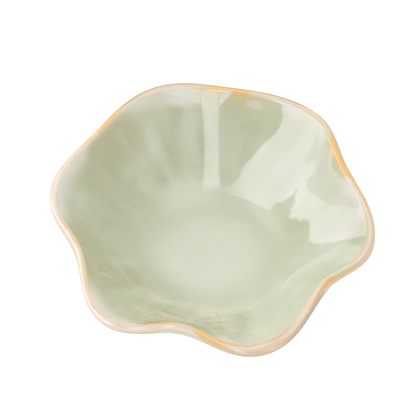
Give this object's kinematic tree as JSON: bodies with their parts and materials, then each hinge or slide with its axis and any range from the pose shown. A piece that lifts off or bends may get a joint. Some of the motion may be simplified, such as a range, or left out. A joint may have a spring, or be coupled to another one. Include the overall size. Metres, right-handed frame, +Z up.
{
  "type": "ring dish",
  "caption": "Shallow lobed ceramic dish on a low foot ring, pale green inside with an amber line on its lip, for rings and small jewellery.",
  "frame": {"origin": "on the table, under the middle of the dish's bounding box", "axes": "+Z up out of the bowl, +X to the right and +Y away from the viewer in the picture"},
  "size_m": [0.1039, 0.1018, 0.0299],
  "materials": {
    "stoneware": "bare fired clay, matte",
    "slip": "fired slip, matte",
    "celadon_glaze": "glossy pale green glaze, deeper where it pools",
    "amber_glaze": "glossy cream glaze that breaks to amber on the crest of the lip",
    "cream_glaze": "glossy cream glaze with a green cast"
  },
  "bodies": {
    "root": {"clay_body": "stoneware", "foot_ring": "stoneware", "slip_joint": "slip", "inner_glaze": "celadon_glaze", "rim_glaze": "amber_glaze", "outer_glaze": "cream_glaze", "foot_well_glaze": "cream_glaze"}
  },
  "joints": []
}
